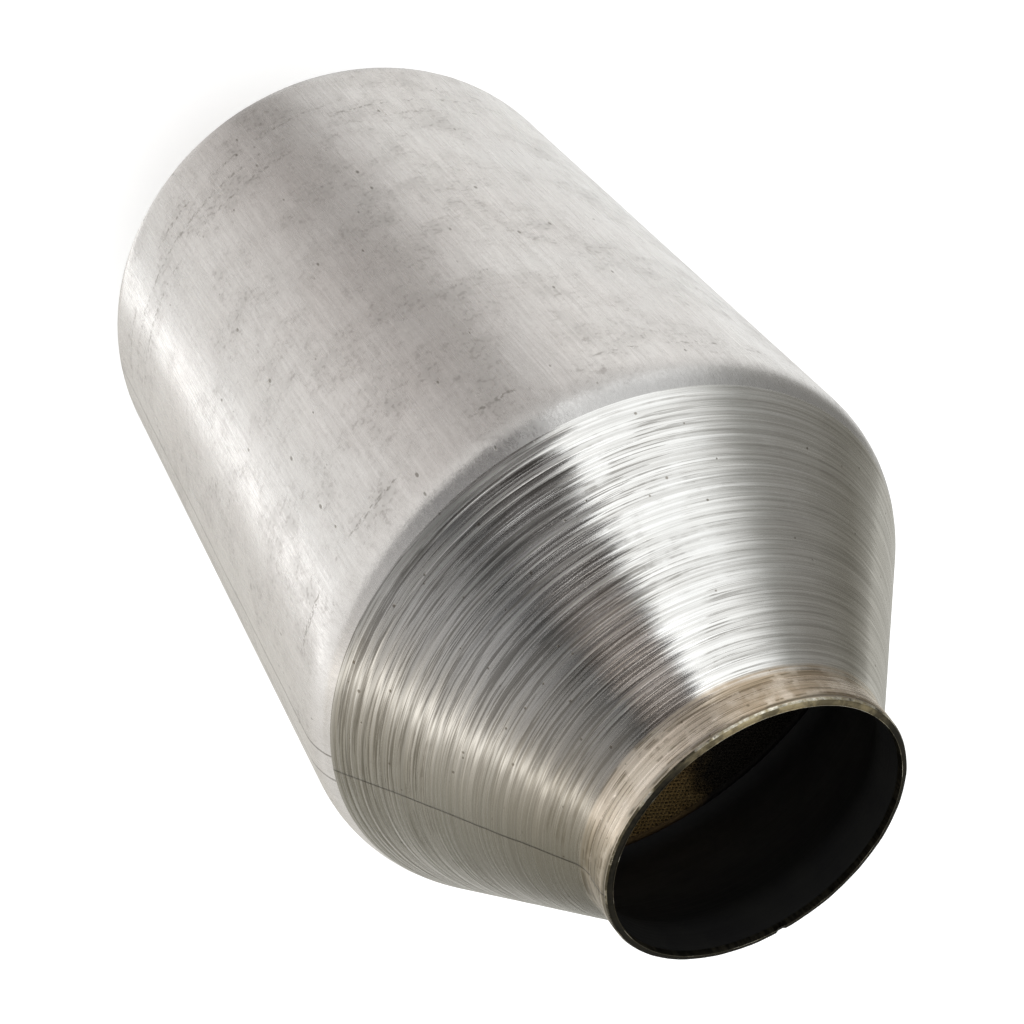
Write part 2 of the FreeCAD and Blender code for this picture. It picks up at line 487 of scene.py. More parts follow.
# Each loop leans over the next by a fifth of its width, and bulges over the wire below.
turn = calc(knit, "MULTIPLY", shape(knit, "SplineParameter"), 2 * math.pi)
phase = calc(knit, "MULTIPLY", turn, size["Stitches"])
twice = calc(knit, "MULTIPLY", phase, 2.0)
sway = calc(knit, "MULTIPLY", calc(knit, "SINE", twice), calc(knit, "MULTIPLY", loop_turn, 0.2))
swayed = calc(knit, "ADD", turn, sway)
bulge = calc(knit, "MULTIPLY", wire, 0.75)
seat = calc(knit, "ADD", calc(knit, "MULTIPLY", wire, 0.55), bulge)
layers = []
for level, inwards in (("Outer Radius", -1.0), ("Inner Radius", 1.0)):
    rise = calc(knit, "MULTIPLY", calc(knit, "MULTIPLY", loop_turn, size[level]), 0.40)
    layer_radius = calc(knit, "ADD", size[level], calc(knit, "MULTIPLY", seat, inwards))
    radius = calc(knit, "ADD", layer_radius, calc(knit, "MULTIPLY", calc(knit, "COSINE", twice), bulge))
    loops = join(
        knit,
        X=calc(knit, "MULTIPLY", radius, calc(knit, "COSINE", swayed)),
        Y=calc(knit, "MULTIPLY", radius, calc(knit, "SINE", swayed)),
        Z=calc(knit, "MULTIPLY", calc(knit, "COSINE", phase), rise),
    )
    points = calc(knit, "MULTIPLY", size["Stitches"], 10.0)
    path = shape(knit, "CurvePrimitiveCircle", {"Resolution": points, "Radius": 1.0})
    path = shape(knit, "SetPosition", {"Geometry": path, "Position": loops})
    half_wire = calc(knit, "MULTIPLY", wire, 0.5)
    section = shape(knit, "CurvePrimitiveCircle", {"Resolution": 4, "Radius": half_wire})
    course = shape(knit, "CurveToMesh", {"Curve": path, "Profile Curve": section})
    both_rises = calc(knit, "MULTIPLY", rise, 2.0)
    room_for_rows = calc(knit, "SUBTRACT", calc(knit, "SUBTRACT", tall, wire), both_rises)
    step = calc(knit, "DIVIDE", room_for_rows, calc(knit, "SUBTRACT", size["Rows"], 1.0))
    first = calc(knit, "SUBTRACT", middle, calc(knit, "MULTIPLY", room_for_rows, 0.5))
    stack = shape(knit, "MeshLine", {
        "Count": size["Rows"],
        "Start Location": join(knit, Z=first),
        "Offset": join(knit, Z=step),
    })
    layers.append(shape(knit, "InstanceOnPoints", {"Points": stack, "Instance": course}))
mesh = shape(knit, "RealizeInstances", {"Geometry": together(knit, *layers)})
mesh = shape(knit, "SetShadeSmooth", {"Geometry": mesh, "Shade Smooth": True})
mesh = shape(knit, "SetMaterial", {"Geometry": mesh, "Material": size["Wire Material"]})
# Between the two layers lies the folded wire, pressed to a core.
both_radii = calc(knit, "ADD", size["Inner Radius"], size["Outer Radius"])
wide = calc(knit, "SUBTRACT", size["Outer Radius"], size["Inner Radius"])
core = band(
    knit,
    radius=calc(knit, "MULTIPLY", both_radii, 0.5),
    wall=calc(knit, "SUBTRACT", wide, calc(knit, "MULTIPLY", wire, 3.6)),
    tall=calc(knit, "SUBTRACT", tall, wire),
    middle=middle,
    facets=180,
)
core = shape(knit, "SetMaterial", {"Geometry": core, "Material": size["Core Material"]})
whole = together(knit, mesh, core)
knit.links.new(shape(knit, "RealizeInstances", {"Geometry": whole}), result[0])

wire_steel, tree, surface, place = new_material("knitted_wire_steel")
tarnish = patches(tree, place, 180.0)
drawn_marks = streaks(tree, place, (1.0, 1.0, 1.0), 5000.0)
fill(tree, surface, {
    "Base Color": blend(tree, tarnish, (0.62, 0.60, 0.57), (0.45, 0.41, 0.35)),
    "Roughness": fade(tree, drawn_marks, 0.0, 1.0, 0.28, 0.42),
    "Metallic": 1.0,
})
core_steel, tree, surface, place = new_material("pressed_wire_core")
crumple = use_group(tree, rolling_pits, Vector=place, Density=1400.0, Share=0.7, Size=0.5)
fill(tree, surface, {
    "Base Color": blend(tree, crumple, (0.40, 0.38, 0.35), (0.05, 0.05, 0.045)),
    "Roughness": fade(tree, crumple, 0.0, 1.0, 0.4, 0.7),
    "Metallic": 1.0,
    "Normal": relief(tree, (crumple, -0.0002)),
})

for end in ("inlet", "outlet"):
    seal_low, seal_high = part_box(end + "_edge_seal")
    seal = grow(end + "_knitted_seal", knit, {
        "Inner Radius": monolith_radius,
        "Outer Radius": cavity_radius,
        "Low": seal_low.z,
        "High": seal_high.z,
        "Wire": seal_wire,
        "Stitches": seal_stitches,
        "Rows": seal_rows,
        "Wire Material": wire_steel,
        "Core Material": core_steel,
    })
    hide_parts(end + "_edge_seal")
    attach(seal, "root")

# ---- Shell ----
# One stainless tube, seam welded and polished lengthwise, with both ends spun down to a
# cone.  The spinning roller leaves coarse rings where it starts and fine ones after that.
# Each neck is ground to size and parted off, which turns a burr over the cut face.

shell_low, shell_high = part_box("shell")
shell_middle = shell_high.z / 2
straight_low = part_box("outlet_edge_seal")[0].z
straight_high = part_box("inlet_edge_seal")[1].z
shell_radius = min(shell_high.x, shell_high.y, -shell_low.x, -shell_low.y)
end_height = shell_high.z - straight_high
sheet = 0.0015
shoulder_radius = 0.0155
cone_angle = math.radians(36.5)
root_radius = 0.006
neck_radius = 0.030175
bore_radius = 0.028675
seam_azimuth = math.radians(23.5)
seam_half_width = 0.0034
seam_wander = 0.0012

ring_start = 0.0080
ring_pitch = 0.00117
ring_count = 8
ring_depth = 0.00006
# One coarse ring: shares of its pitch, and how much of its depth is reached there.
ring_shape = ((0.0, 1.0), (0.12, 0.35), (0.3, 0.0), (0.55, 0.1), (0.8, 0.0), (0.9, 0.4))
fine_ring_count = 26
fine_ring_depth = 0.00004

shoulder_height = shoulder_radius * math.sin(cone_angle)
shoulder_drop = shoulder_radius * (1 - math.cos(cone_angle))
root_height = root_radius * math.sin(cone_angle)
root_drop = root_radius * (1 - math.cos(cone_angle))
cone_drop = shell_radius - shoulder_drop - neck_radius - root_drop
cone_end = shoulder_height + cone_drop / math.tan(cone_angle)
neck_start = cone_end + root_height

shoulder_steps = 7
root_steps = 6
inside_steps = 8
wall_steps = 10
segments = 360
turns = np.arange(segments) * (2 * math.pi / segments)
# The finishes, in the order of the shell's materials.
body, spun, cut, bright, shaded_inside = range(5)


def skin_radius(height):
    """The radius of the smooth outer skin, at a height past the straight wall's end."""
    if height <= shoulder_height:
        return shell_radius - shoulder_radius + math.sqrt(shoulder_radius ** 2 - height ** 2)
    if height <= cone_end:
        return shell_radius - shoulder_drop - (height - shoulder_height) * math.tan(cone_angle)
    if height <= neck_start:
        below = neck_start - height
        return neck_radius + root_radius - math.sqrt(root_radius ** 2 - below ** 2)
    return neck_radius


def skin_slope(height):
    """How far the skin has turned towards the axis, at a height past the straight wall."""
    if height <= shoulder_height:
        return math.asin(max(height, 0) / shoulder_radius)
    if height <= cone_end:
        return cone_angle
    if height <= neck_start:
        return math.asin((neck_start - height) / root_radius)
    return 0.0


def sunk(height, depth, finish):
    """A point of the profile that lies at a depth under the smooth skin."""
    slope = skin_slope(height)
    radius = skin_radius(height) - depth * math.cos(slope)
    return radius, height - depth * math.sin(slope), finish, 0.0


def end_profile(chance):
    """One end of the shell from its straight wall to the rim, over it and back inside.

    Each point is radius, height, the finish of the strip that follows, and how far the
    burr may move it.
    """
    points = []
    for step in range(shoulder_steps):
        points.append(sunk(ring_start * step / shoulder_steps, 0.0, body))
    for ring in range(ring_count):
        depth = ring_depth * chance.uniform(0.4, 1.1)
        for share, reach in ring_shape:
            points.append(sunk(ring_start + ring_pitch * (ring + share), depth * reach, spun))
    rings_end = ring_start + ring_pitch * ring_count
    for step in range(fine_ring_count):
        height = rings_end + (cone_end - rings_end) * step / fine_ring_count
        radius = skin_radius(height) - chance.uniform(0.0, fine_ring_depth)
        points.append((radius, height, spun, 0.0))
    for step in range(root_steps):
        points.append(sunk(cone_end + root_height * step / root_steps, 0.0, spun))
    # The ground neck, the groove that the parting tool left, the burr, and the cut face.
    points += [
        (neck_radius - 0.00010, neck_start - 0.00005, spun, 0.0),
        (neck_radius + 0.00006, neck_start + 0.00035, spun, 0.0),
        (neck_radius + 0.00006, neck_start + 0.0030, spun, 0.0),
        (neck_radius, end_height - 0.0021, spun, 0.0),
        (neck_radius - 0.00003, end_height - 0.0017, spun, 0.1),
        (neck_radius - 0.00022, end_height - 0.0014, spun, 0.3),
        (neck_radius - 0.00014, end_height - 0.0011, spun, 0.5),
        (neck_radius - 0.00010, end_height - 0.00075, bright, 0.5),
        (neck_radius - 0.00034, end_height - 0.00038, cut, 1.0),
        (neck_radius - 0.00052, end_height - 0.00020, cut, 0.8),
        (bore_radius + 0.00040, end_height - 0.00022, cut, 0.3),
        (bore_radius + 0.00022, end_height - 0.00022, cut, 0.3),
        (bore_radius + 0.00015, end_height - 0.00010, bright, 0.7),
        (bore_radius + 0.00008, end_height - 0.00010, cut, 0.6),
        (bore_radius, end_height - 0.0004, cut, 0.0),
        (bore_radius, end_height - 0.0014, shaded_inside, 0.0),
    ]
    # The inside, one sheet under the skin, back to where the straight wall starts.
    for step in (2, 1, 0):
        points.append(sunk(cone_end + root_height * step / 2, sheet, shaded_inside))
    for step in range(1, inside_steps + 1):
        height = cone_end + (shoulder_height - cone_end) * step / inside_steps
        points.append(sunk(height, sheet, shaded_inside))
    for step in (2, 1, 0):
        points.append(sunk(shoulder_height * step / 3, sheet, shaded_inside))
    return points


def ragged(chance, reach):
    """A burr's height round the rim: a slow wave with short torn stretches."""
    wave = np.zeros(segments)
    for count in (5, 11, 23, 47, 90, 131):
        wave += np.sin(count * turns + chance.uniform(0, 6.28)) / (1 + count / 40)
    return reach * np.clip(wave / 3.0, -1.0, 1.0)


def burred(point, waves):
    """A point of an end as its radii and its heights all round, moved by the burr."""
    radius, height, _, share = point
    return radius + waves[0] * share, height + waves[1] * share


chance = random.Random(7)
inlet_end = end_profile(chance)
outlet_end = end_profile(chance)
outlet_waves = (ragged(chance, 0.00005), ragged(chance, 0.00008))
inlet_waves = (ragged(chance, 0.00005), ragged(chance, 0.00008))
# The cutter left a nick, three segments wide, where it came round to its own start.
nick = slice(122, 125)
inlet_waves[0][nick] -= 0.00022
inlet_waves[1][nick] -= 0.00024


def outlet_ring(index):
    """A ring of the outlet end, which is passed from its rim to the straight wall."""
    radii, heights = burred(outlet_end[index], outlet_waves)
    finish = outlet_end[index - 1][2] if index else body
    return radii, straight_low - heights, finish


# From the outlet rim up the outside, over the inlet rim, down the inside and across.
inside_start = [point[2] for point in inlet_end].index(shaded_inside)
hoops = [outlet_ring(index) for index in reversed(range(inside_start))]
for step in range(1, wall_steps):
    height = straight_low + (straight_high - straight_low) * step / wall_steps
    hoops.append((shell_radius, height, body))
for point in inlet_end:
    radii, heights = burred(point, inlet_waves)
    hoops.append((radii, straight_high + heights, point[2]))
for index in reversed(range(inside_start, len(outlet_end))):
    hoops.append(outlet_ring(index))

vertices = []
faces = []
finishes = []
for number, (radii, heights, finish) in enumerate(hoops):
    heights = np.broadcast_to(heights, segments)
    vertices.append(np.stack([radii * np.cos(turns), radii * np.sin(turns), heights], 1))
    hoop = number * segments
    above = (number + 1) % len(hoops) * segments
    for turn in range(segments):
        after = (turn + 1) % segments
        faces.append((hoop + turn, hoop + after, above + after, above + turn))
    finishes += [finish] * segments
shell_mesh = bpy.data.meshes.new("shell_skin")
shell_mesh.from_pydata(np.concatenate(vertices).tolist(), [], faces)
shell_mesh.shade_smooth()
shell_mesh.set_sharp_from_angle(angle=math.radians(50))
shell = bpy.data.objects.new("shell_skin", shell_mesh)
bpy.context.scene.collection.objects.link(shell)

# The weld seam runs up one side and wanders a little: how far a point lies from it.
beside_seam, given, result = shader_group("beside_seam", {"Vector": (0.0, 0.0, 0.0)}, "Across")
values = {"Vector": given["Vector"], "Rotation": (0.0, 0.0, -seam_azimuth)}
parts = split(beside_seam, place_node(beside_seam, "ShaderNodeMapping", values).outputs[0])
wander = calc(beside_seam, "SUBTRACT", noise(beside_seam, given["Vector"], 60.0, 2.0, 0.5), 0.5)
across = calc(beside_seam, "MULTIPLY_ADD", wander, seam_wander, parts["Y"])
far_side = calc(beside_seam, "LESS_THAN", parts["X"], 0.0)
across = calc(beside_seam, "ABSOLUTE", calc(beside_seam, "ADD", across, far_side))
beside_seam.links.new(across, result["Across"])

# Heat, the roller and the parting tool touched some sides more than others: a soft share
# round one compass direction, gone at its spread in degrees.
one_side, given, result = shader_group(
    "one_side",
    {"Vector": (0.0, 0.0, 0.0), "Degrees": 0.0, "Spread": 60.0},
    "Share",
)
turn = calc(one_side, "RADIANS", given["Degrees"])
towards = join(one_side, X=calc(one_side, "COSINE", turn), Y=calc(one_side, "SINE", turn))
flat = vector_calc(one_side, "MULTIPLY", given["Vector"], (1, 1, 0))
along = vector_calc(one_side, "DOT_PRODUCT", vector_calc(one_side, "NORMALIZE", flat), towards)
spread = calc(one_side, "RADIANS", given["Spread"])
low = calc(one_side, "COSINE", spread)
high = calc(one_side, "COSINE", calc(one_side, "MULTIPLY", spread, 0.3))
one_side.links.new(fade(one_side, along, low, high), result["Share"])

# How far a point lies from the nearer rim.
rim_distance, given, result = shader_group("rim_distance", {"Vector": (0.0, 0.0, 0.0)}, "Distance")
height = split(rim_distance, given["Vector"])["Z"]
from_middle = calc(rim_distance, "ABSOLUTE", calc(rim_distance, "SUBTRACT", height, shell_middle))
distance = calc(rim_distance, "SUBTRACT", shell_middle, from_middle)
rim_distance.links.new(distance, result["Distance"])


def near(tree, value, middle, outer, inner):
    """A soft share of 1 where a value is within inner of the middle, and 0 past outer."""
    away = calc(tree, "ABSOLUTE", calc(tree, "SUBTRACT", value, middle))
    return fade(tree, away, outer, inner)


def on_side(tree, place, degrees, spread):
    """A soft share on one side of the shell."""
    return use_group(tree, one_side, Vector=place, Degrees=degrees, Spread=spread)


# Straight wall and shoulder: cold rolled sheet with a fine lengthwise polish, dull
# blotches, short dashes in rows where the forming rolls pressed scale in, and small dents.
body_steel, tree, surface, place = new_material("polished_tube_steel")
grain = streaks(tree, place, (1.0, 1.0, 0.05), 2400.0, 0.22)
broad = streaks(tree, place, (1.0, 1.0, 0.07), 650.0)
scratch = streaks(tree, place, (1.0, 1.0, 0.02), 1500.0, 0.12)
dash = streaks(tree, place, (0.6, 0.6, 1.0), 1500.0, 0.12)
peel = patches(tree, place, 1100.0)
patch = patches(tree, place, 24.0)
cloudy = patches(tree, place, 70.0)
mottle = patches(tree, place, 200.0)
speckle = patches(tree, place, 850.0)
squeezed = place_node(tree, "ShaderNodeMapping", {"Vector": place, "Scale": (1.0, 1.0, 0.45)}).outputs[0]
small_pit = use_group(tree, rolling_pits, Vector=squeezed, Density=640.0, Share=0.07, Size=0.20)
large_pit = use_group(tree, rolling_pits, Vector=squeezed, Density=210.0, Share=0.06, Size=0.11)
rows = 0.0
for row_height in (0.0700, 0.0762, 0.0830, 0.1945):
    in_row = near(tree, split(tree, place)["Z"], row_height, 0.0008, 0.0003)
    rows = calc(tree, "MAXIMUM", in_row, rows)
broken = calc(tree, "MULTIPLY", fade(tree, dash, 0.6, 1.0), fade(tree, cloudy, 0.3, 0.7, 0.0, 0.75))
dashes = calc(tree, "MULTIPLY", rows, broken)
pits = calc(tree, "MAXIMUM", calc(tree, "MAXIMUM", small_pit, large_pit), dashes)
across = use_group(tree, beside_seam, Vector=place)
seam_edge = near(tree, across, seam_half_width, 0.0003, 0.0001)
dull = calc(tree, "MULTIPLY", mottle, fade(tree, cloudy, 0.2, 0.9))
speckled = calc(tree, "MULTIPLY", fade(tree, speckle, 0.55, 1.0), calc(tree, "ADD", 0.25, dull))
from_rim = use_group(tree, rim_distance, Vector=place)
shoulder_share = fade(tree, from_rim, end_height, end_height - 0.008)
# The shoulder is matt, and darker on one side, which is a painted shade.
shaded_shoulder = blend(tree, on_side(tree, place, -105.0, 75.0), (0.72, 0.70, 0.68), (0.29, 0.287, 0.283))
colour = laid_over(
    tree,
    blend(tree, cloudy, (0.755, 0.745, 0.73), (0.70, 0.685, 0.668)),
    (patch, 0.45, (0.68, 0.64, 0.615)),
    (broad, 0.30, (0.56, 0.545, 0.53)),
    (grain, 0.24, (0.46, 0.445, 0.43)),
    (scratch, 0.14, (0.42, 0.40, 0.38)),
    (dull, 0.40, (0.44, 0.425, 0.41)),
    (speckled, 0.45, (0.28, 0.26, 0.245)),
    (shoulder_share, 0.75, shaded_shoulder),
    (pits, 0.65, (0.14, 0.125, 0.10)),
    (seam_edge, 0.75, (0.12, 0.11, 0.09)),
)
# Dents: degrees round the wall, height, reach and depth.
dents = []
for degrees, height, reach, depth in (
    (-77, 0.165, 0.0016, 0.00006),
    (-42, 0.150, 0.0022, 0.00005),
    (-45, 0.163, 0.0012, 0.00005),
    (-33, 0.086, 0.0015, 0.00004),
    (110, 0.120, 0.0030, 0.00006),
    (-150, 0.090, 0.0025, 0.00005),
):
    turn = math.radians(degrees)
    spot = (shell_radius * math.cos(turn), shell_radius * math.sin(turn), height)
    away = vector_calc(tree, "DISTANCE", place, spot)
    dents.append((fade(tree, away, reach, 0.0), -depth))
fill(tree, surface, {
    "Base Color": colour,
    "Roughness": calc(tree, "MULTIPLY_ADD", dull, 0.08, fade(tree, grain, 0.0, 1.0, 0.21, 0.29)),
    "Metallic": calc(tree, "MULTIPLY_ADD", shoulder_share, -0.25, 1.0),
    "Anisotropic": 0.2,
    "Normal": relief(
        tree,
        (grain, 0.000003),
        (broad, 0.000006),
        (peel, 0.000006),
        (mottle, 0.000024),
        (pits, -0.00004),
        (seam_edge, -0.00003),
        *dents,
    ),
})

# Cones and necks: the roller's rings stretch every highlight along the slope, and end it
# raggedly.  Towards each rim they give way to a ground neck with brown heat tint.
spun_steel, tree, surface, place = new_material("spun_cone_steel")
rings = streaks(tree, place, (0.003, 0.003, 1.0), 1300.0, 0.16)
fine_rings = streaks(tree, place, (0.007, 0.007, 1.0), 3400.0, 0.18)
tears = streaks(tree, place, (0.014, 0.014, 1.0), 3000.0, 0.08)
patch = patches(tree, place, 40.0)
stain = patches(tree, place, 210.0)
pit = use_group(tree, rolling_pits, Vector=place, Density=600.0, Share=0.12, Size=0.19)
seam_line = fade(tree, use_group(tree, beside_seam, Vector=place), 0.0003, 0.0001)
from_rim = use_group(tree, rim_distance, Vector=place)
wavering = calc(tree, "MULTIPLY_ADD", calc(tree, "SUBTRACT", patch, rings), 0.0012, from_rim)
neck = fade(tree, wavering, 0.0098, 0.0074)
# The roller tore the skin most on one side. On the lit side the rings and tears fade, as a painted
# highlight.
lit_side = on_side(tree, place, -120.0, 62.0)
torn = calc(tree, "MULTIPLY", fade(tree, tears, 0.8, 1.0), fade(tree, patch, 0.2, 0.6))
torn = calc(tree, "MULTIPLY", torn, fade(tree, lit_side, 0.0, 1.0, 1.0, 0.25))
torn_side = calc(tree, "MULTIPLY", fade(tree, tears, 0.5, 0.9, 0.0, 0.85), on_side(tree, place, -22.0, 42.0))
torn = calc(tree, "MAXIMUM", torn, torn_side)
# The heat tint is brown where the torch rested, and olive a third of a turn further on.
# The cone has a painted shade near the neck on one side, is rosy near the neck, and one side of it is a
# little yellow.
browned = calc(tree, "MULTIPLY", on_side(tree, place, -84.0, 40.0), fade(tree, stain, 0.0, 0.9, 0.45, 0.9))
olive = calc(tree, "MULTIPLY", on_side(tree, place, 42.0, 50.0), fade(tree, stain, 0.0, 0.9, 0.6, 0.95))
neck_side_shade = calc(tree, "MULTIPLY", on_side(tree, place, 10.0, 60.0), fade(tree, from_rim, 0.034, 0.012))
rosy = calc(tree, "MULTIPLY", on_side(tree, place, -42.0, 11.0), fade(tree, from_rim, 0.042, 0.016))
yellowed = on_side(tree, place, 55.0, 70.0)
scored = calc(tree, "MULTIPLY", fade(tree, tears, 0.7, 1.0), fade(tree, stain, 0.2, 0.6))
neck_colour = laid_over(
    tree,
    blend(tree, stain, (0.88, 0.80, 0.70), (0.78, 0.69, 0.58)),
    (browned, 1.0, (0.33, 0.25, 0.17)),
    (olive, 1.0, (0.20, 0.175, 0.11)),
    (rings, 0.25, (0.36, 0.29, 0.20)),
    (fine_rings, 0.30, (0.30, 0.245, 0.17)),
    (scored, 0.60, (0.10, 0.075, 0.04)),
)
groove = near(tree, from_rim, 0.00125, 0.0005, 0.0001)
groove = calc(tree, "MULTIPLY", groove, fade(tree, stain, 0.9, 0.3, 0.25, 0.8))
colour = laid_over(
    tree,
    blend(tree, patch, (0.79, 0.79, 0.78), (0.69, 0.68, 0.66)),
    (rings, fade(tree, lit_side, 0.0, 1.0, 0.30, 0.14), (0.42, 0.41, 0.39)),
    (fine_rings, 0.46, (0.33, 0.32, 0.295)),
    (torn, 0.65, (0.11, 0.10, 0.085)),
    (neck_side_shade, 0.50, (0.32, 0.29, 0.235)),
    (yellowed, 0.45, (0.47, 0.445, 0.37)),
    (rosy, 0.50, (0.48, 0.395, 0.33)),
    (neck, 1.0, neck_colour),
    (groove, 1.0, (0.075, 0.060, 0.030)),
    (pit, 0.65, (0.10, 0.075, 0.045)),
    (seam_line, 0.75, (0.06, 0.055, 0.045)),
)
raised = relief(
    tree,
    (rings, 0.000025),
    (fine_rings, 0.000010),
    (torn, -0.000006),
    (pit, -0.00002),
    (seam_line, -0.00003),
)
# A turned surface is never quite round: each ring leans a little to one side or the other.
round_way = vector_calc(tree, "CROSS_PRODUCT", (0, 0, 1), place)
round_way = vector_calc(tree, "NORMALIZE", round_way)
drawn = vector_calc(tree, "MULTIPLY", place, (0.004, 0.004, 1.0))
lean = calc(tree, "SUBTRACT", noise(tree, drawn, 1100.0, 2.0, 0.5), 0.5)
lean = calc(tree, "MULTIPLY", lean, fade(tree, lit_side, 0.0, 1.0, 0.28, 0.15))
values = {0: round_way, "Scale": lean}
push = place_node(tree, "ShaderNodeVectorMath", values, operation="SCALE").outputs[0]
fill(tree, surface, {
    "Base Color": colour,
    "Roughness": calc(tree, "MULTIPLY_ADD", neck, 0.05, fade(tree, rings, 0.0, 1.0, 0.19, 0.30)),
    "Metallic": calc(tree, "MULTIPLY_ADD", neck, -0.05, 1.0),
    "Anisotropic": 0.92,
    "Anisotropic Rotation": 0.25,
    "Normal": vector_calc(tree, "NORMALIZE", vector_calc(tree, "ADD", raised, push)),
})

# Cut face: parted off and left dark with oil and scale, but scraped on one side.
# The same near-black runs down the top of the bore, a painted shade there.
cut_steel, tree, surface, place = new_material("parted_rim_steel")
marks = streaks(tree, place, (1.0, 1.0, 0.2), 1400.0)
bared = fade(tree, patches(tree, place, 260.0), 0.9, 0.3, 0.35, 1.0)
scraped = calc(tree, "MULTIPLY", on_side(tree, place, -78.0, 52.0), bared)
fill(tree, surface, {
    "Base Color": laid_over(
        tree,
        blend(tree, marks, (0.016, 0.015, 0.012), (0.040, 0.036, 0.026)),
        (scraped, 1.0, (0.40, 0.34, 0.21)),
    ),
    "Roughness": fade(tree, marks, 0.0, 1.0, 0.5, 0.7),
    "Metallic": 1.0,
    "Normal": relief(tree, (marks, 0.00002)),
})

# Burrs: torn edges of bare bright steel, dirty in places, and least on the scraped side.
burr_steel, tree, surface, place = new_material("torn_burr_steel")
torn = patches(tree, place, 900.0)
gaps = calc(tree, "MULTIPLY_ADD", on_side(tree, place, -80.0, 55.0), -0.6, patches(tree, place, 170.0))
fill(tree, surface, {
    "Base Color": laid_over(
        tree,
        blend(tree, torn, (0.76, 0.73, 0.64), (0.36, 0.31, 0.20)),
        (fade(tree, gaps, 0.05, 0.45), 0.92, (0.07, 0.06, 0.035)),
    ),
    "Roughness": fade(tree, torn, 0.0, 1.0, 0.25, 0.5),
    "Metallic": 1.0,
    "Normal": relief(tree, (torn, 0.00006)),
})

# Inside: a painted shade, near-black towards the rims and less dark deeper in.
shaded_inside_steel, tree, surface, place = new_material("painted_shade_inside_steel")
patch = patches(tree, place, 120.0)
rings = streaks(tree, place, (0.02, 0.02, 1.0), 1500.0)
deep = fade(tree, use_group(tree, rim_distance, Vector=place), shell_middle - 0.124, shell_middle - 0.085)
rim_shade = blend(tree, patch, (0.010, 0.010, 0.010), (0.013, 0.013, 0.012))
inward = blend(tree, patch, (0.075, 0.075, 0.075), (0.090, 0.089, 0.088))
fill(tree, surface, {
    "Base Color": blend(tree, deep, rim_shade, inward),
    "Roughness": fade(tree, rings, 0.0, 1.0, 0.75, 0.95),
    "Specular IOR Level": 0.05,
    "Normal": relief(tree, (rings, 0.00001)),
})

for steel in (body_steel, spun_steel, cut_steel, burr_steel, shaded_inside_steel):
    shell_mesh.materials.append(steel)
shell_mesh.polygons.foreach_set("material_index", finishes)
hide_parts("shell")
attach(shell, "root")

# ---- Studio ----
# A white table in a room that is white overhead and dark towards the horizon, with a
# tall window on one side and a narrow one on the other.  The table shows plain white,
# and polished steel also finds the windows' glare and the operator's shadow on it.

# The room at table height, by degrees from +X: red, green and blue.
room_stops = [
    (-180, 0.40, 0.39, 0.35),
    (-168, 0.22, 0.21, 0.18),
    (-140, 0.30, 0.29, 0.27),
    (-125, 0.42, 0.42, 0.40),
    (-114, 1.00, 1.01, 1.00),
    (-104, 1.42, 1.44, 1.44),
    (-70, 1.50, 1.52, 1.52),
    (-65, 1.50, 1.52, 1.52),
    (-64, 0.06, 0.052, 0.05),
    (-42, 0.06, 0.052, 0.05),
    (-22, 0.08, 0.08, 0.082),
    (5, 0.40, 0.39, 0.385),
    (20, 0.50, 0.48, 0.46),
    (30, 0.75, 0.71, 0.66),
    (34, 1.55, 1.48, 1.38),
    (38, 1.55, 1.48, 1.38),
    (42, 0.80, 0.75, 0.68),
    (56, 0.48, 0.45, 0.39),
    (72, 0.34, 0.325, 0.28),
    (105, 0.22, 0.215, 0.19),
    (125, 0.45, 0.45, 0.42),
    (150, 0.45, 0.45, 0.42),
    (163, 0.60, 0.59, 0.54),
]
# The glare and the shade on the table, by degrees about a point nearer to the camera.
table_stops = [
    (-180, 0.98, 0.985, 0.98),
    (-165, 1.04, 1.045, 1.03),
    (-138, 0.98, 0.975, 0.96),
    (-100, 0.98, 0.97, 0.95),
    (-84, 0.80, 0.785, 0.77),
    (-66, 0.53, 0.51, 0.495),
    (-52, 0.53, 0.505, 0.49),
    (-30, 0.72, 0.69, 0.67),
    (-8, 0.90, 0.88, 0.86),
    (18, 0.98, 0.97, 0.95),
    (30, 1.12, 1.12, 1.11),
    (38, 1.72, 1.72, 1.71),
    (44, 1.72, 1.72, 1.71),
    (46, 0.92, 0.90, 0.87),
    (70, 0.80, 0.78, 0.74),
    (95, 0.70, 0.68, 0.63),
    (140, 0.90, 0.89, 0.87),
]
white = (1.0, 1.0, 1.0)
table_reach = 6.0
table_paint = 0.84
glare_middle = (0.026, -0.0234, 0)
room_middle = (0.50, 0.03, 0)


def round_about(tree, vector, stops):
    """The colour that the stops give for a vector's compass direction."""
    parts = split(tree, vector)
    turn = calc(tree, "ARCTAN2", parts["Y"], parts["X"])
    share = calc(tree, "MULTIPLY_ADD", turn, 1 / (2 * math.pi), 0.5)
    peak = max(max(stop[1:]) for stop in stops)
    ramp = place_node(tree, "ShaderNodeValToRGB", {"Fac": share})
    elements = ramp.color_ramp.elements
    while len(elements) < len(stops):
        elements.new(0.5)
    for element, (degrees, *colour) in zip(elements, stops):
        element.position = degrees / 360 + 0.5
        element.color = (*(part / peak for part in colour), 1)
    return vector_calc(tree, "MULTIPLY", ramp.outputs[0], (peak, peak, peak))


corners = [(-table_reach, -table_reach, 0), (table_reach, -table_reach, 0)]
corners += [(table_reach, table_reach, 0), (-table_reach, table_reach, 0)]
floor_mesh = bpy.data.meshes.new("floor")
floor_mesh.from_pydata(corners, [], [(0, 1, 2, 3)])
floor = bpy.data.objects.new("floor", floor_mesh)
bpy.context.scene.collection.objects.link(floor)
floor_white = bpy.data.materials.new("floor_white")
floor_white.use_nodes = True
floor_white.cycles.emission_sampling = "NONE"
tree = floor_white.node_tree
tree.nodes.clear()
place = place_node(tree, "ShaderNodeTexCoord").outputs["Object"]
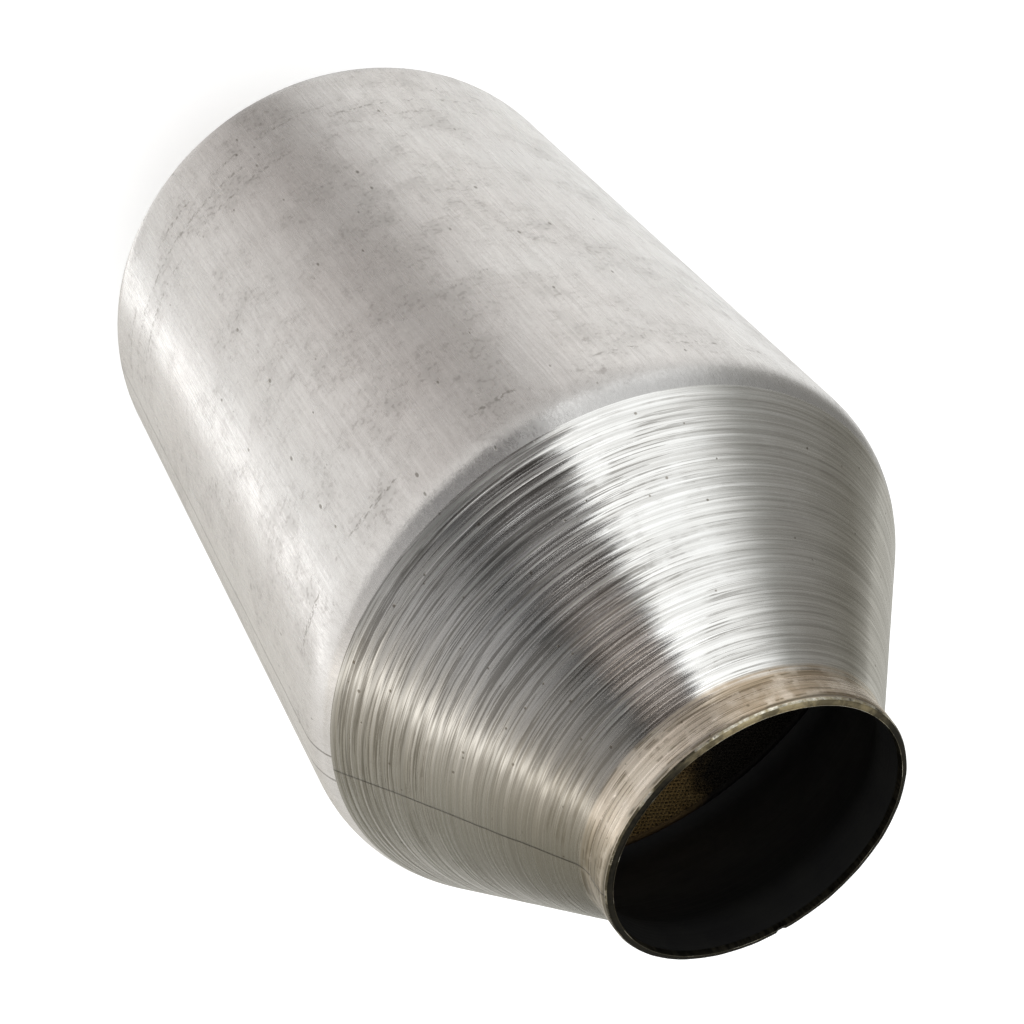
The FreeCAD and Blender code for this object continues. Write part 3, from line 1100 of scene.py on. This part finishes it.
# Steel finds the glare close by, a paler table further out, and then the room's walls.
glare = round_about(tree, vector_calc(tree, "SUBTRACT", place, glare_middle), table_stops)
far_out = fade(tree, vector_calc(tree, "LENGTH", place), 0.32, 0.70, 0.0, 0.5)
glare = blend(tree, far_out, glare, (0.95, 0.94, 0.92))
past_table = fade(tree, vector_calc(tree, "DISTANCE", place, room_middle), 0.80, 0.95)
reflected = blend(tree, past_table, glare, round_about(tree, place, room_stops))
ray = place_node(tree, "ShaderNodeLightPath").outputs
shown = blend(tree, ray["Is Glossy Ray"], white, reflected)
paint = vector_calc(tree, "MULTIPLY", shown, (table_paint, table_paint, table_paint))
matt = place_node(tree, "ShaderNodeBsdfDiffuse", {"Color": paint}).outputs[0]
# A little light of its own keeps the table white, in view and in the steel.
lift = calc(tree, "MULTIPLY", ray["Is Camera Ray"], 0.42)
lift = calc(tree, "MULTIPLY_ADD", ray["Is Glossy Ray"], 0.16, lift)
glow = place_node(tree, "ShaderNodeEmission", {"Color": shown, "Strength": lift}).outputs[0]
both = place_node(tree, "ShaderNodeAddShader", {0: matt, 1: glow}).outputs[0]
place_node(tree, "ShaderNodeOutputMaterial", {"Surface": both})
floor_mesh.materials.append(floor_white)

world = bpy.data.worlds.new("studio_room")
bpy.context.scene.world = world
world.use_nodes = True
world.cycles.sampling_method = "NONE"
tree = world.node_tree
tree.nodes.clear()
towards = place_node(tree, "ShaderNodeTexCoord").outputs["Generated"]
overhead = fade(tree, split(tree, towards)["Z"], 0.66, 0.90)
room = blend(tree, overhead, round_about(tree, towards, room_stops), white)
ray = place_node(tree, "ShaderNodeLightPath").outputs
light = blend(tree, ray["Is Glossy Ray"], white, room)
sky = place_node(tree, "ShaderNodeBackground", {"Color": light, "Strength": 1.0}).outputs[0]
place_node(tree, "ShaderNodeOutputWorld", {"Surface": sky})

# One soft lamp high over the camera gives the floor its shadow.
lamp_data = bpy.data.lights.new("soft_lamp", "AREA")
lamp_data.size = 0.9
lamp_data.energy = 3.0
lamp = bpy.data.objects.new("soft_lamp", lamp_data)
bpy.context.scene.collection.objects.link(lamp)
lamp.location = (0.35, -0.60, 1.5)
lamp_target = Vector((0, 0, 0.12))
lamp.rotation_euler = (lamp_target - lamp.location).to_track_quat("-Z", "Y").to_euler()
lamp.visible_camera = False

# The camera looks down into the inlet, rolled so that the converter seems to lie.
camera_data = bpy.data.cameras.new("camera")
camera_data.sensor_width = 36.0
camera_data.lens = 60.18
camera_data.clip_start = 0.01
camera = bpy.data.objects.new("camera", camera_data)
bpy.context.scene.collection.objects.link(camera)
camera.location = (0.18900, -0.17017, 0.42485)
ahead = Vector((-0.50584, 0.45865, -0.73059))
roll = Quaternion((0, 0, 1), math.radians(143.1))
camera.rotation_euler = (ahead.to_track_quat("-Z", "Y") @ roll).to_euler()
bpy.context.scene.camera = camera
bpy.context.scene.view_settings.view_transform = "Standard"
